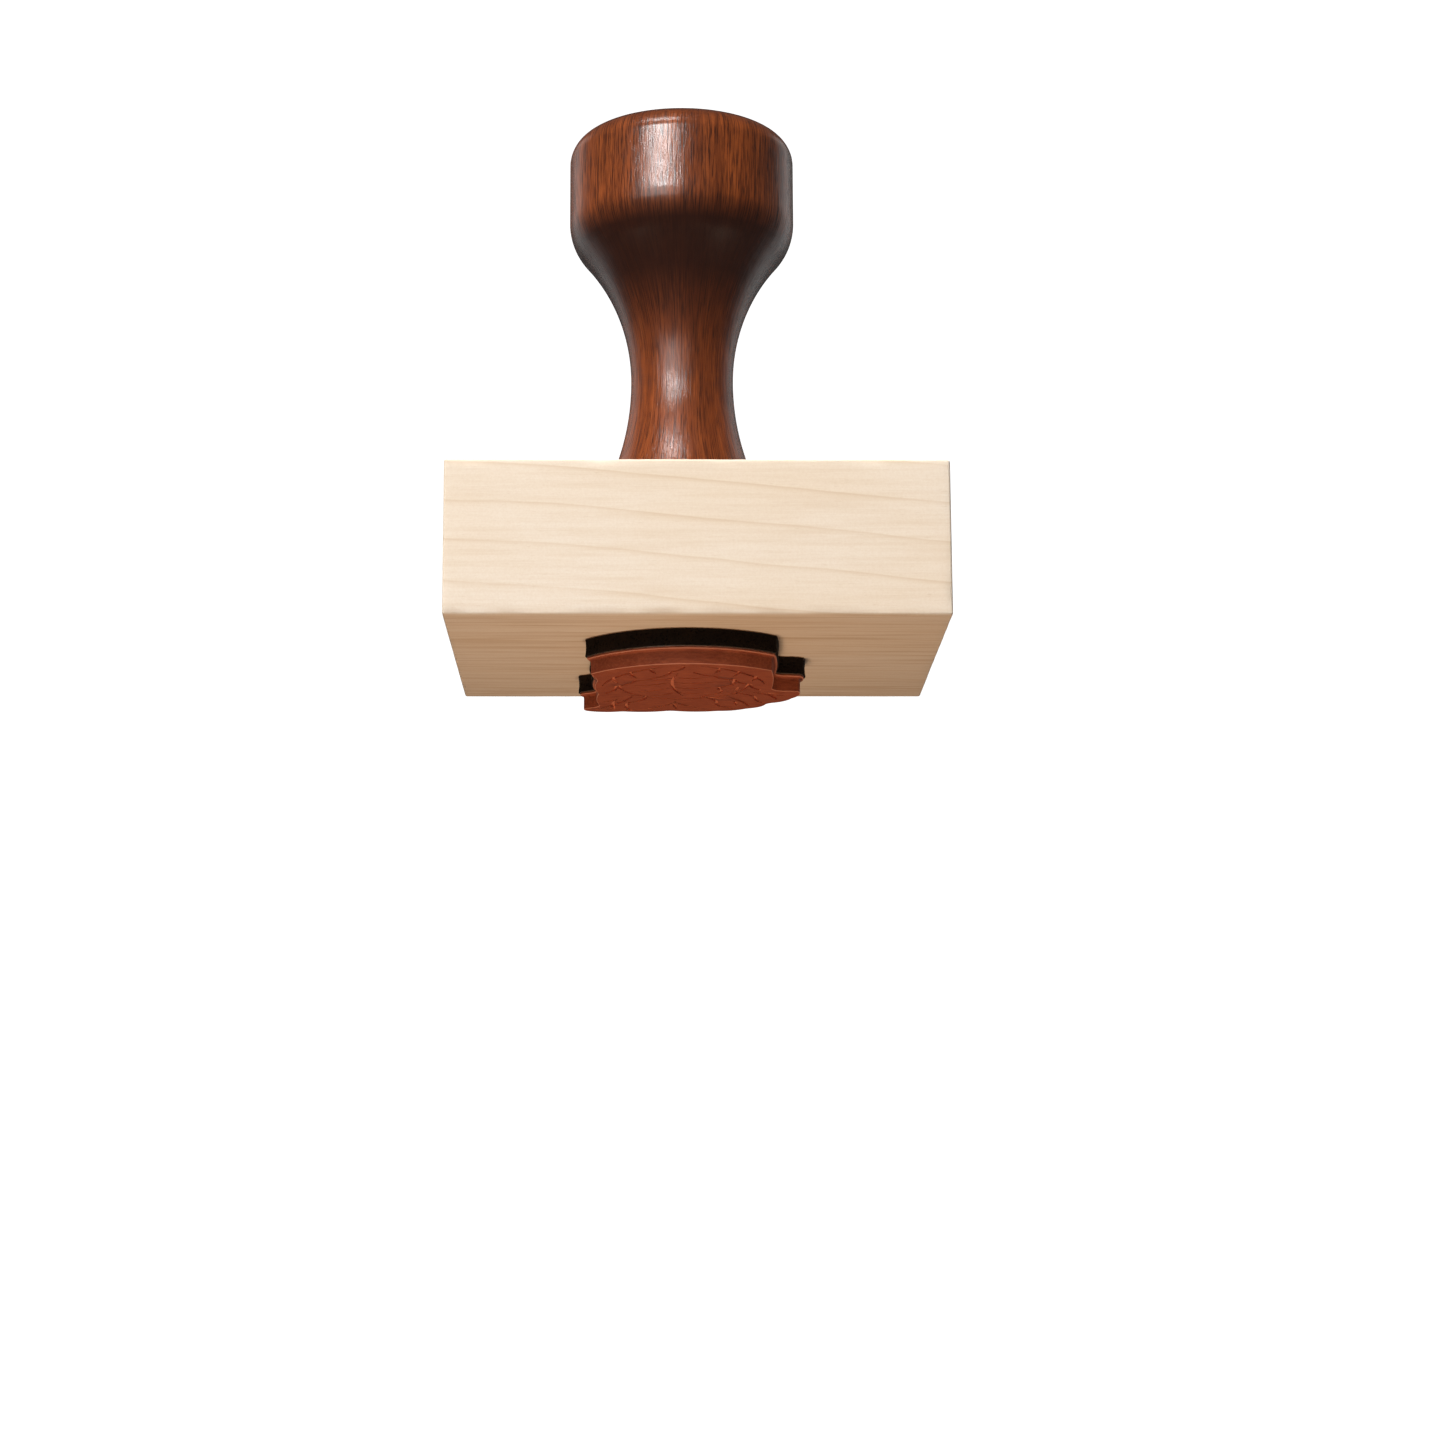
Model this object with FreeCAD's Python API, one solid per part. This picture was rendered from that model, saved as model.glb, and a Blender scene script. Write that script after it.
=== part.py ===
"""Hand rubber stamp: a turned hardwood handle on a maple block, with a cushioned rubber die under it.

The handle is held by a steel dowel screw, threaded at both ends. The die is a sheet of engraved
rubber, cut round its motif and stuck to a foam cushion of the same outline. A film of adhesive
joins the cushion to the block, and another joins the rubber to the cushion.

Frame, in millimetres: +X to the right and +Y to the back as the stamp is held, +Z up along the
handle. The origin is under the middle of the block, on the plane that the printing face rests on.
"""

import FreeCAD
import Part
import math
import os

V = FreeCAD.Vector

# Maple block
BLOCK_WIDTH = 65.0
BLOCK_DEPTH = 50.0
BLOCK_HEIGHT = 20.6
BLOCK_EDGE_RADIUS = 0.35

# Layers under the block, from the paper upwards
RUBBER_THICKNESS = 2.3
FILM_THICKNESS = 0.1
FOAM_THICKNESS = 2.2

# The handle and the die share one axis, which stands a little left of the block's middle. The
# die is also stuck on a little forward of it.
AXIS_X = -1.7
DIE_Y = -1.8

# Turned handle: radii, and heights above the block's top
HANDLE_HEIGHT = 54.35
FOOT_BAND = 1.0
NECK_RADIUS = 7.0
NECK_HEIGHT = 18.1
FOOT_COVE_RADIUS = 35.9
NECK_COVE_RADIUS = 27.2
KNOB_RADIUS = 15.5
KNOB_HEEL_RADIUS = 8.0
KNOB_SHOULDER_RADIUS = 3.5
CROWN_RADIUS = 60.0
FOOT_EDGE_RADIUS = 0.5

# Dowel screw
SCREW_CORE_RADIUS = 1.8
SCREW_THREAD_RADIUS = 2.5
SCREW_PITCH = 2.2
SCREW_THREADS_IN_BLOCK = 5
SCREW_THREADS_IN_HANDLE = 8
SCREW_SHANK_LENGTH = 4.4
SCREW_POINT_LENGTH = 2.4

# Rubber die: how far its lip and its wall stand inside the cushion's outline
LIP_INSET = 0.25
LIP_THICKNESS = 0.3
WALL_INSET = 0.75
COVE_RADIUS = 0.4
OUTLINE_CORNER_RADIUS = 1.0
ENGRAVED_DEPTH = 0.3

# Heights of the layers
FILM_UNDER_FOAM_Z = RUBBER_THICKNESS
FOAM_Z = FILM_UNDER_FOAM_Z + FILM_THICKNESS
FILM_OVER_FOAM_Z = FOAM_Z + FOAM_THICKNESS
BLOCK_Z = FILM_OVER_FOAM_Z + FILM_THICKNESS
HANDLE_Z = BLOCK_Z + BLOCK_HEIGHT

# Outline of the cushion, anticlockwise from above: a corner, then how far the arc to the next
# corner bulges outwards. It goes along the rounded front, up the right side to the leaf that
# stands out there, round the ruffled back and down the left side.
DIE_OUTLINE = [
    (-13.0, -9.6, 5.7),
    (12.2, -11.8, 0.3),
    (12.6, 0.4, 0.2),
    (16.2, 0.9, 0.7),
    (15.5, 6.2, 0.6),
    (12.2, 9.6, 0.7),
    (9.3, 13.2, 0.5),
    (5.0, 14.9, 0.6),
    (-1.6, 14.7, 0.6),
    (-8.2, 15.2, 0.6),
    (-13.4, 14.8, 0.5),
    (-14.1, 12.3, 0.1),
    (-12.0, 11.0, 0.4),
    (-12.1, 3.0, 0.4),
    (-12.1, -5.4, -0.1),
]

# Engraved lines of the motif, a cabbage with its leaves open. A stroke keeps its width and has
# round ends; a vein comes to a point at both ends. Each is x, y to x, y, then how far it bulges to
# the right of that way. The head is a round, drawn where the leaves in front don't cover it.
HEAD_CENTRE = (0.0, -2.6)
HEAD_RADIUS = 8.6
HEAD_ANGLES = (-3, 90, 177)
STROKE_WIDTH = 0.45
STROKES = [
    # ruffled edge of the leaf that cups the head from the left, from its tip to the base
    (-10.4, 2.4, -8.9, -2.2, -0.5),
    (-8.9, -2.2, -6.4, -5.4, -0.5),
    (-6.4, -5.4, -3.6, -7.6, -0.5),
    (-3.6, -7.6, -1.8, -10.6, -0.5),
    (-1.8, -10.6, 0.0, -14.0, -0.4),
    # the same edge on the right
    (10.3, 0.2, 9.0, -3.2, 0.4),
    (9.0, -3.2, 6.7, -6.2, 0.5),
    (6.7, -6.2, 4.1, -8.3, 0.5),
    (4.1, -8.3, 1.4, -10.6, 0.4),
    # ruffled edge of the leaf wrapped round the head
    (2.6, 5.1, 4.6, 2.6, 0.4),
    (4.6, 2.6, 4.8, -0.2, -0.5),
    (4.8, -0.2, 6.4, -2.6, 0.5),
    (6.4, -2.6, 6.3, -5.8, -0.4),
    # where the leaves behind the head part
    (-5.0, 4.8, -7.2, 8.4, 0.6),
    (-7.2, 8.4, -7.0, 13.6, -0.6),
    (3.6, 5.7, 4.6, 9.6, 0.5),
    (4.6, 9.6, 7.2, 12.2, -0.4),
    (7.4, 2.4, 9.9, 5.0, 0.4),
    (9.9, 5.0, 11.0, 8.6, -0.4),
]
VEIN_WIDTH = 0.5
VEINS = [
    # rib and side veins of the leaf wrapped round the head
    (-0.6, -10.2, 0.3, 4.6, -1.3),
    (-1.2, -7.2, -4.3, -5.8, 0.4),
    (-1.7, -4.4, -6.7, -2.6, 0.6),
    (-1.7, -1.4, -6.4, 1.4, 0.7),
    (-1.2, 1.6, -4.2, 4.0, 0.5),
    (-1.1, -7.4, 2.6, -7.2, -0.4),
    (-1.5, -4.6, 4.6, -4.9, -0.8),
    (-1.5, -1.6, 3.6, -1.2, -0.7),
    (-1.0, 1.4, 3.0, 2.2, -0.5),
    (6.6, 1.8, 7.3, -2.0, -0.3),
    # leaf in the middle at the back
    (-0.9, 7.2, -0.6, 13.2, -0.3),
    (-0.9, 8.2, -4.9, 12.4, 0.5),
    (-0.9, 8.2, 3.0, 12.2, -0.5),
    # leaf at the back on the left
    (-6.6, 3.4, -12.2, 13.2, 0.9),
    (-9.0, 6.6, -9.2, 12.8, -0.4),
    (-8.6, 6.0, -11.2, 8.2, 0.2),
    # leaves at the back and in the middle on the right
    (6.2, 4.8, 9.2, 11.0, 0.4),
    (6.9, 7.2, 7.4, 10.6, 0.2),
    (9.2, 1.5, 14.3, 4.2, -0.4),
    (11.0, 2.7, 12.8, 6.6, 0.3),
    (11.2, 2.4, 14.2, 2.2, 0.2),
    # leaf that cups the head from the left
    (-1.9, -14.2, -10.9, -1.6, -1.9),
    (-4.3, -12.9, -3.4, -9.6, -0.3),
    (-7.0, -10.9, -6.0, -7.0, -0.3),
    (-9.2, -7.8, -8.5, -3.8, -0.3),
    # leaf that cups it from the right
    (2.2, -14.3, 10.9, -3.0, 1.9),
    (4.6, -13.0, 3.9, -10.0, 0.3),
    (7.2, -11.4, 6.3, -7.8, 0.3),
    (9.5, -8.6, 8.9, -4.8, 0.3),
]


def at_die(x, y, z=0.0):
    """A point of the die's own plan, in the stamp's frame."""
    return V(AXIS_X + x, DIE_Y + y, z)


def bulged_arc(start, end, bulge):
    """An arc from start to end that bulges to the right of that way, or a line with no bulge."""
    if abs(bulge) < 1e-6:
        return Part.LineSegment(start, end).toShape()
    along = (end - start).normalize()
    middle = (start + end) * 0.5 + V(along.y, -along.x, 0) * bulge
    return Part.Arc(start, middle, end).toShape()


def side_points(start, end, bulge, offset):
    """The ends of a stroke's side: its centre line's ends, moved offset to the right of the line."""
    chord = end - start
    along = V(chord).normalize()
    turn = math.atan2(abs(bulge), chord.Length / 2) * 2 * (1 if bulge > 0 else -1)
    right = V(along.y, -along.x, 0)
    leave = right * math.cos(turn) - along * math.sin(turn)
    arrive = right * math.cos(turn) + along * math.sin(turn)
    return start + leave * offset, end + arrive * offset


def stroke_face(x0, y0, x1, y1, bulge):
    """An arc-shaped band of even width with round ends."""
    half = STROKE_WIDTH / 2
    start = at_die(x0, y0)
    end = at_die(x1, y1)
    right_start, right_end = side_points(start, end, bulge, half)
    left_start, left_end = side_points(start, end, bulge, -half)
    chord = end - start
    radius = (chord.Length ** 2 / 4 + bulge ** 2) / (2 * abs(bulge))
    grow = half / radius * math.copysign(1, bulge)
    edges = [
        bulged_arc(right_start, right_end, bulge * (1 + grow)),
        bulged_arc(right_end, left_end, half),
        bulged_arc(left_end, left_start, -bulge * (1 - grow)),
        bulged_arc(left_start, right_start, half),
    ]
    return Part.Face(Part.Wire(edges))


def vein_face(x0, y0, x1, y1, bulge):
    """A lens between two arcs, as a gouge leaves."""
    half = VEIN_WIDTH / 2
    start = at_die(x0, y0)
    end = at_die(x1, y1)
    edges = [bulged_arc(start, end, half + bulge), bulged_arc(end, start, half - bulge)]
    return Part.Face(Part.Wire(edges))


def head_strokes():
    """The head's round as strokes between its angles, which run anticlockwise."""
    strokes = []
    for first, last in zip(HEAD_ANGLES, HEAD_ANGLES[1:]):
        ends = []
        for angle in (first, last):
            ends.append(HEAD_CENTRE[0] + HEAD_RADIUS * math.cos(math.radians(angle)))
            ends.append(HEAD_CENTRE[1] + HEAD_RADIUS * math.sin(math.radians(angle)))
        strokes.append((*ends, HEAD_RADIUS * (1 - math.cos(math.radians(last - first) / 2))))
    return strokes


def die_outline(inset=0.0):
    """The cushion's outline as a face, drawn in by inset, with its corners rounded."""
    corners = [at_die(x, y) for x, y, _ in DIE_OUTLINE]
    following = corners[1:] + corners[:1]
    bulges = [bulge for _, _, bulge in DIE_OUTLINE]
    edges = [bulged_arc(p, q, bulge) for p, q, bulge in zip(corners, following, bulges)]
    sharp = Part.Face(Part.Wire(edges))
    grown = sharp.makeOffset2D(OUTLINE_CORNER_RADIUS)
    shrunk = grown.makeOffset2D(-2 * OUTLINE_CORNER_RADIUS)
    return shrunk.makeOffset2D(OUTLINE_CORNER_RADIUS - inset)


def slab(face, z, thickness):
    """A flat face raised to height z and given a thickness upwards."""
    solid = face.extrude(V(0, 0, thickness))
    solid.translate(V(0, 0, z))
    return solid


def rubber_die():
    """Engraved rubber: a thin lip against the cushion, a coved wall, and the cut motif."""
    wall_height = RUBBER_THICKNESS - LIP_THICKNESS
    body = slab(die_outline(WALL_INSET), 0, RUBBER_THICKNESS)
    body = body.fuse(slab(die_outline(LIP_INSET), wall_height, LIP_THICKNESS)).removeSplitter()
    under_lip = [
        edge for edge in body.Edges
        if abs(edge.BoundBox.ZMin - wall_height) < 1e-4
        and abs(edge.BoundBox.ZMax - wall_height) < 1e-4
        and body_wall_touches(edge)
    ]
    body = body.makeFillet(COVE_RADIUS, under_lip)
    faces = [stroke_face(*stroke) for stroke in head_strokes() + STROKES]
    faces += [vein_face(*vein) for vein in VEINS]
    return body.cut([slab(face, -1.0, 1.0 + ENGRAVED_DEPTH) for face in faces])


def body_wall_touches(edge):
    """True for an edge of the inner corner, where the wall meets the lip."""
    wall = die_outline(WALL_INSET)
    middle = edge.valueAt((edge.FirstParameter + edge.LastParameter) / 2)
    return wall.OuterWire.distToShape(Part.Vertex(V(middle.x, middle.y, 0)))[0] < 1e-3


def foam_cushion():
    """A sheet of sponge rubber, cut to the outline."""
    return slab(die_outline(), FOAM_Z, FOAM_THICKNESS)


def adhesive_film(z, inset):
    """A clear film, coated on both sides, at height z."""
    return slab(die_outline(inset), z, FILM_THICKNESS)


def dowel_screw():
    """A steel rod with a wood thread and a point at each end, and a plain shank in the middle."""
    shank_bottom = HANDLE_Z - SCREW_SHANK_LENGTH / 2
    shank_top = HANDLE_Z + SCREW_SHANK_LENGTH / 2
    lower = shank_bottom - SCREW_THREADS_IN_BLOCK * SCREW_PITCH
    upper = shank_top + SCREW_THREADS_IN_HANDLE * SCREW_PITCH
    crest = SCREW_PITCH / 2
    profile = [V(0, 0, lower - SCREW_POINT_LENGTH), V(SCREW_CORE_RADIUS, 0, lower)]
    for turn in range(SCREW_THREADS_IN_BLOCK):
        z = lower + turn * SCREW_PITCH
        profile += [V(SCREW_THREAD_RADIUS, 0, z + crest), V(SCREW_CORE_RADIUS, 0, z + SCREW_PITCH)]
    profile += [V(SCREW_THREAD_RADIUS, 0, shank_bottom), V(SCREW_THREAD_RADIUS, 0, shank_top)]
    for turn in range(SCREW_THREADS_IN_HANDLE):
        z = shank_top + turn * SCREW_PITCH
        profile += [V(SCREW_CORE_RADIUS, 0, z), V(SCREW_THREAD_RADIUS, 0, z + crest)]
    profile += [V(SCREW_CORE_RADIUS, 0, upper), V(0, 0, upper + SCREW_POINT_LENGTH)]
    face = Part.Face(Part.makePolygon(profile + profile[:1]))
    screw = face.revolve(V(0, 0, 0), V(0, 0, 1), 360)
    screw.translate(V(AXIS_X, 0, 0))
    return screw


def mount_block(screw):
    """The maple block with eased edges, bored and tapped by the screw."""
    block = Part.makeBox(BLOCK_WIDTH, BLOCK_DEPTH, BLOCK_HEIGHT)
    block.translate(V(-BLOCK_WIDTH / 2, -BLOCK_DEPTH / 2, BLOCK_Z))
    block = block.makeFillet(BLOCK_EDGE_RADIUS, block.Edges)
    return block.cut(screw)


def cove_radius_at(height, cove_radius):
    """The handle's radius at a height above the block, on the cove of that radius."""
    drop = height - NECK_HEIGHT
    return NECK_RADIUS + cove_radius - math.sqrt(cove_radius ** 2 - drop ** 2)


def handle(screw):
    """The turned profile, as arcs that run into each other: foot, neck, heel, side and crown."""
    def point(r, height):
        return V(r, 0, HANDLE_Z + height)

    foot_radius = cove_radius_at(FOOT_BAND, FOOT_COVE_RADIUS)
    half_down = (FOOT_BAND + NECK_HEIGHT) / 2

    # the heel is a convex arc between the neck's cove and the knob's straight side
    heel_r = KNOB_RADIUS - KNOB_HEEL_RADIUS
    cove_centre_r = NECK_RADIUS + NECK_COVE_RADIUS
    reach = NECK_COVE_RADIUS + KNOB_HEEL_RADIUS
    heel_height = NECK_HEIGHT + math.sqrt(reach ** 2 - (cove_centre_r - heel_r) ** 2)
    heel_start_angle = math.atan2(NECK_HEIGHT - heel_height, cove_centre_r - heel_r)
    heel_start_height = heel_height + KNOB_HEEL_RADIUS * math.sin(heel_start_angle)
    half_up = (NECK_HEIGHT + heel_start_height) / 2

    # the shoulder is a convex arc between that side and the crown, which is part of a sphere
    shoulder_r = KNOB_RADIUS - KNOB_SHOULDER_RADIUS
    crown_centre = HANDLE_HEIGHT - CROWN_RADIUS
    crown_reach = CROWN_RADIUS - KNOB_SHOULDER_RADIUS
    shoulder_height = crown_centre + math.sqrt(crown_reach ** 2 - shoulder_r ** 2)
    crown_edge_angle = math.atan2(shoulder_height - crown_centre, shoulder_r)
    crown_mid_angle = (crown_edge_angle + math.pi / 2) / 2

    def on_heel(angle):
        return point(
            heel_r + KNOB_HEEL_RADIUS * math.cos(angle),
            heel_height + KNOB_HEEL_RADIUS * math.sin(angle),
        )

    def on_shoulder(angle):
        return point(
            shoulder_r + KNOB_SHOULDER_RADIUS * math.cos(angle),
            shoulder_height + KNOB_SHOULDER_RADIUS * math.sin(angle),
        )

    def on_crown(angle):
        return point(CROWN_RADIUS * math.cos(angle), crown_centre + CROWN_RADIUS * math.sin(angle))

    middle = point(0, 0)
    foot = point(foot_radius, 0)
    foot_top = point(foot_radius, FOOT_BAND)
    on_foot_cove = point(cove_radius_at(half_down, FOOT_COVE_RADIUS), half_down)
    neck = point(NECK_RADIUS, NECK_HEIGHT)
    on_neck_cove = point(cove_radius_at(half_up, NECK_COVE_RADIUS), half_up)
    heel_start = on_heel(heel_start_angle)
    crown_edge = on_shoulder(crown_edge_angle)
    top = point(0, HANDLE_HEIGHT)
    curves = [
        Part.LineSegment(middle, foot),
        Part.LineSegment(foot, foot_top),
        Part.Arc(foot_top, on_foot_cove, neck),
        Part.Arc(neck, on_neck_cove, heel_start),
        Part.Arc(heel_start, on_heel(heel_start_angle / 2), on_heel(0)),
        Part.LineSegment(on_heel(0), on_shoulder(0)),
        Part.Arc(on_shoulder(0), on_shoulder(crown_edge_angle / 2), crown_edge),
        Part.Arc(crown_edge, on_crown(crown_mid_angle), top),
        Part.LineSegment(top, middle),
    ]
    profile = Part.Face(Part.Wire([curve.toShape() for curve in curves]))
    turned = profile.revolve(V(0, 0, 0), V(0, 0, 1), 360)
    foot_edges = [
        edge for edge in turned.Edges
        if edge.BoundBox.ZMax < HANDLE_Z + FOOT_BAND + 1e-4 and edge.BoundBox.ZLength < 1e-4
    ]
    turned = turned.makeFillet(FOOT_EDGE_RADIUS, foot_edges)
    turned.translate(V(AXIS_X, 0, 0))
    return turned.cut(screw)


def main():
    os.makedirs("parts", exist_ok=True)
    screw = dowel_screw()
    nodes = {
        "handle": handle(screw),
        "handle_dowel_screw": screw,
        "mount_block": mount_block(screw),
        "block_adhesive_film": adhesive_film(FILM_OVER_FOAM_Z, 0),
        "foam_cushion": foam_cushion(),
        "die_adhesive_film": adhesive_film(FILM_UNDER_FOAM_Z, LIP_INSET),
        "rubber_die": rubber_die(),
    }
    for name, shape in nodes.items():
        volume = round(shape.Volume, 1)
        print(name, "valid", shape.isValid(), "solids", len(shape.Solids), "volume", volume)
        shape.exportStep(f"parts/{name}.step")


main()
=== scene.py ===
"""A hand rubber stamp, put together from the paper upwards: the rubber die, its adhesive film, the
foam cushion, the film under the block, the maple block, the dowel screw and the turned handle.

Everything is in metres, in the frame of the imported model: +X right, +Y back, +Z up the handle.
"""

import math

import bmesh
import bpy
from mathutils import Matrix, Vector, noise


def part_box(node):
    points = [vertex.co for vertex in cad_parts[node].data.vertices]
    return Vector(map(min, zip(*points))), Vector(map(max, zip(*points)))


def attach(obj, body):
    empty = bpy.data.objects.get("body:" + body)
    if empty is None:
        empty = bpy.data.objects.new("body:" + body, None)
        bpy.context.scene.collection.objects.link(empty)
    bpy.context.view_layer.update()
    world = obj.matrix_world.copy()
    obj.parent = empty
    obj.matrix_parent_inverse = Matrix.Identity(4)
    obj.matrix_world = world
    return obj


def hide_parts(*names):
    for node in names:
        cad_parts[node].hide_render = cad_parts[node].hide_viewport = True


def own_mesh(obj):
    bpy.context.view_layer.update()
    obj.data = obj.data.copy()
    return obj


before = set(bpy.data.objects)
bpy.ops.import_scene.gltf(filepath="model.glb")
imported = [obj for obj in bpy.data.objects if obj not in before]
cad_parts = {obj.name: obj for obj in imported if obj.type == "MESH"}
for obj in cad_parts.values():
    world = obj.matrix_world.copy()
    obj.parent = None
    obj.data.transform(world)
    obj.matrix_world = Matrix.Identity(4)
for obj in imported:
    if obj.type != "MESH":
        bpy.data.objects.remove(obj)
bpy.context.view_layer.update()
MM = 0.001


# ---- Rubber die ---------------------------------------------------------------------------------
# Red-brown stamp rubber, moulded with a thin lip against the cushion and trimmed round the motif.
# Its printing face is ground level, with the motif's lines cut into it. The outline's edges are a
# little rounded and carry a painted highlight, and the cut lines are painted lighter inside,
# lifting their shade.
DIE_EDGE_ROUND = 0.10 * MM
DIE_LIP_ROUND = 0.10 * MM
DIE_ROUND_STEPS = 3
DIE_CORNER = math.radians(50)
DIE_CRISP_ANGLE = 35
LIP_REACH = 0.35 * MM
LIP_HIGHLIGHT_REACH = 0.32 * MM
LINE_REACH = 0.31 * MM
WALL_REACH = 1 * MM
LEVEL = 0.01 * MM
MERGE = 0.001 * MM
FLAT_WITHIN = math.radians(0.05)
MARK_SIZE = 0.24 * MM
FINE_MARK_SIZE = 0.11 * MM
RUBBER_CLOUD = 5 * MM
RUBBER_SPECK = 0.16 * MM
RUBBER_RED = (0.365, 0.086, 0.034)
RUBBER_DEEP = (0.225, 0.046, 0.017)
RUBBER_PALE = (0.60, 0.225, 0.135)
RUBBER_GROOVE_LIGHT = (0.70, 0.235, 0.125)
GROOVE_LIGHT_SHARE = 0.58
EDGE_HIGHLIGHT_SHARE = 0.85


def add(tree, kind, settings=None, inputs=None):
    """A node in a shader or geometry tree; an input is a value or the socket that feeds it."""
    made = tree.nodes.new(kind)
    for key, value in (settings or {}).items():
        setattr(made, key, value)
    for key, value in (inputs or {}).items():
        if isinstance(value, bpy.types.NodeSocket):
            tree.links.new(value, made.inputs[key])
        else:
            made.inputs[key].default_value = value
    return made


def new_finish(name):
    """A material, its tree, its shader and the surface's own coordinates."""
    finish = bpy.data.materials.new(name)
    finish.use_nodes = True
    tree = finish.node_tree
    shader = tree.nodes["Principled BSDF"]
    place = add(tree, "ShaderNodeTexCoord").outputs["Object"]
    return finish, tree, shader, place


def moved(tree, place, scale=(1, 1, 1), turn=(0, 0, 0), shift=(0, 0, 0)):
    """The coordinates scaled, then turned, then shifted."""
    settings = {"Vector": place, "Scale": scale, "Rotation": turn, "Location": shift}
    return add(tree, "ShaderNodeMapping", inputs=settings).outputs["Vector"]


def grains(tree, place, size, detail=3.0, roughness=0.55, distortion=0.0):
    """Noise whose features are about size across, from 0 to 1."""
    inputs = {"Vector": place, "Scale": 1 / size, "Detail": detail, "Roughness": roughness}
    inputs["Distortion"] = distortion
    return add(tree, "ShaderNodeTexNoise", inputs=inputs).outputs["Fac"]


def between(tree, value, low, high, to_low=0.0, to_high=1.0):
    """The value spread from low..high to to_low..to_high, and held there outside."""
    inputs = {
        "Value": value, "From Min": low, "From Max": high, "To Min": to_low, "To Max": to_high,
    }
    return add(tree, "ShaderNodeMapRange", {"clamp": True}, inputs).outputs["Result"]


def maths(tree, operation, first, second):
    """One sum on two numbers."""
    return add(tree, "ShaderNodeMath", {"operation": operation}, {0: first, 1: second}).outputs[0]


def vectors(tree, operation, first, second=(0, 0, 0)):
    """One sum on two vectors, or on the first alone."""
    inputs = {0: first, 1: second}
    return add(tree, "ShaderNodeVectorMath", {"operation": operation}, inputs).outputs[0]


def scaled(tree, vector, factor):
    """A vector times a number."""
    inputs = {0: vector, "Scale": factor}
    return add(tree, "ShaderNodeVectorMath", {"operation": "SCALE"}, inputs).outputs[0]


def tinted(tree, share, under, over):
    """The colour under, with share of the colour over."""
    inputs = {0: share}
    inputs[6] = (*under, 1) if isinstance(under, tuple) else under
    inputs[7] = (*over, 1) if isinstance(over, tuple) else over
    return add(tree, "ShaderNodeMix", {"data_type": "RGBA"}, inputs).outputs[2]


def relief(tree, shader, height, depth, under=None):
    """Feeds a bump of that depth to the shader, over another bump if there is one."""
    inputs = {"Height": height, "Distance": depth, "Strength": 1.0}
    if under is not None:
        inputs["Normal"] = under
    bump = add(tree, "ShaderNodeBump", inputs=inputs).outputs["Normal"]
    tree.links.new(bump, shader.inputs["Normal"])
    return bump


def merged_copy(node):
    """A CAD node's mesh with its triangles joined up and its flat faces made whole."""
    mesh = bmesh.new()
    mesh.from_mesh(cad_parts[node].data)
    bmesh.ops.remove_doubles(mesh, verts=mesh.verts, dist=MERGE)
    bmesh.ops.dissolve_limit(
        mesh, angle_limit=FLAT_WITHIN, verts=mesh.verts, edges=mesh.edges,
        use_dissolve_boundaries=False,
    )
    return mesh


def new_piece(name, mesh, *finishes):
    """A piece at the origin from a bmesh, which is used up."""
    data = bpy.data.meshes.new(name)
    mesh.to_mesh(data)
    mesh.free()
    for finish in finishes:
        data.materials.append(finish)
    piece = bpy.data.objects.new(name, data)
    bpy.context.scene.collection.objects.link(piece)
    return piece


def baked(piece):
    """The piece with what its modifiers make as its own plain mesh, and no modifiers."""
    graph = bpy.context.evaluated_depsgraph_get()
    name = piece.name
    data = bpy.data.meshes.new_from_object(piece.evaluated_get(graph), depsgraph=graph)
    bpy.data.objects.remove(piece)
    data.name = name
    made = bpy.data.objects.new(name, data)
    bpy.context.scene.collection.objects.link(made)
    return made


def shade_smooth(piece, angle):
    """Smooth shading, with edges sharper than the angle kept crisp."""
    for face in piece.data.polygons:
        face.use_smooth = True
    piece.data.set_sharp_from_angle(angle=math.radians(angle))


def rubber_finish():
    """Matt rubber with mould marks along X, a painted highlight on its rounded edges and painted
    light in its cut lines.
    """
    finish, tree, shader, place = new_finish("stamp_rubber")
    along = moved(tree, place, scale=(0.12, 1, 1))
    marks = grains(tree, along, MARK_SIZE, detail=5, roughness=0.65)
    fine_marks = grains(tree, along, FINE_MARK_SIZE, detail=2)
    cloud = grains(tree, place, RUBBER_CLOUD, detail=4)
    specks = grains(tree, place, RUBBER_SPECK, detail=1)
    tone = between(tree, marks, 0.34, 0.66, 0.0, 1.0)
    tone = maths(tree, "ADD", tone, between(tree, cloud, 0.35, 0.7, -0.15, 0.25))
    colour = tinted(tree, tone, RUBBER_RED, RUBBER_DEEP)
    pale_specks = between(tree, specks, 0.62, 0.80, 0.0, 0.30)
    colour = tinted(tree, pale_specks, colour, RUBBER_PALE)
    # painted highlight: the faces of the outline's rounded edges are painted paler
    highlighted = add(tree, "ShaderNodeAttribute", {"attribute_name": "worn_edge"}).outputs["Fac"]
    colour = tinted(tree, maths(tree, "MULTIPLY", highlighted, EDGE_HIGHLIGHT_SHARE), colour, RUBBER_PALE)
    # painted light in the cut lines, lifting the shade that falls in them
    groove_light = add(tree, "ShaderNodeAttribute", {"attribute_name": "cut_line"}).outputs["Fac"]
    colour = tinted(tree, maths(tree, "MULTIPLY", groove_light, GROOVE_LIGHT_SHARE), colour, RUBBER_GROOVE_LIGHT)
    tree.links.new(colour, shader.inputs["Base Color"])
    tree.links.new(between(tree, specks, 0.3, 0.7, 0.60, 0.78), shader.inputs["Roughness"])
    shader.inputs["Specular IOR Level"].default_value = 0.22
    low = relief(tree, shader, fine_marks, 0.012 * MM)
    relief(tree, shader, specks, 0.008 * MM, low)
    return finish


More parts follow.
